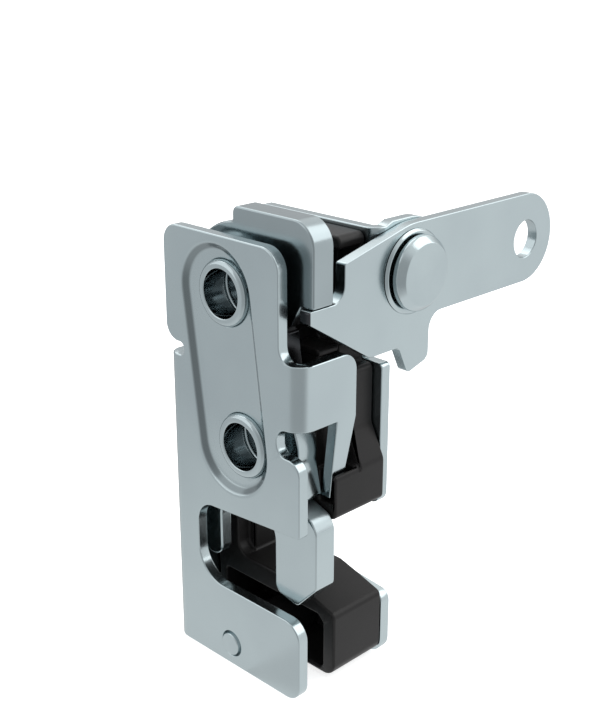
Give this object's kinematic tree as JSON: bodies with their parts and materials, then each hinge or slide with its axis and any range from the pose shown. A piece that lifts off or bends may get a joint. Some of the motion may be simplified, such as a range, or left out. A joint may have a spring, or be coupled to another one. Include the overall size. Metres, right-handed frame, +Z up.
{
  "type": "rotary latch",
  "caption": "Rotary latch: a notched rotor closes a side mouth, a pawl holds it, and a side lever lifts the pawl to let it open.",
  "frame": {"origin": "axis of the lower screw bore, on the mounting face of the front plate", "axes": "+X out of the mouth, +Y into the latch from the mounting face, +Z up from the lower bore towards the pawl"},
  "size_m": [0.0335, 0.067, 0.0812],
  "materials": {
    "plated_sheet": "satin zinc plate",
    "plated_claw": "satin zinc plate",
    "plated_turned": "smooth zinc plate",
    "black_moulding": "moulded, satin",
    "spring_wire": "drawn wire"
  },
  "bodies": {
    "housing": {"front_plate": "plated_sheet", "back_plate": "plated_sheet", "spacer_body": "black_moulding", "lever_rivet": "plated_turned", "lever_washer": "plated_turned", "lower_rivet": "plated_turned", "rotor_bush_front": "plated_turned", "rotor_bush_rear": "plated_turned", "pawl_bush_front": "plated_turned", "pawl_bush_rear": "plated_turned", "rotor_spring": "spring_wire", "pawl_spring": "spring_wire"},
    "rotor": {"rotor": "plated_claw"},
    "pawl": {"pawl": "plated_claw"},
    "lever": {"lever": "plated_sheet"}
  },
  "joints": [
    {"name": "lever_pivot", "type": "hinge", "parent": "housing", "child": "lever", "pos_m": [0.01165, 0.0273, 0.0267], "axis": [-1, 0, 0], "range_deg": [0, 8.5]},
    {"name": "pawl_pivot", "type": "hinge", "parent": "housing", "child": "pawl", "pos_m": [-0.004, 0.006, 0.0251], "axis": [0, -1, 0], "range_deg": [0, 13.6], "stiffness_Nm_per_rad": 0.15, "springref_deg": -22.92},
    {"name": "rotor_pivot", "type": "hinge", "parent": "housing", "child": "rotor", "pos_m": [0, 0.006, 0], "axis": [0, -1, 0], "range_deg": [0, 45]}
  ],
  "couplings": [
    {"joint": "pawl_pivot", "follows": "rotor_pivot", "ratio": 0.302},
    {"joint": "lever_pivot", "follows": "rotor_pivot", "ratio": 0.1886}
  ]
}
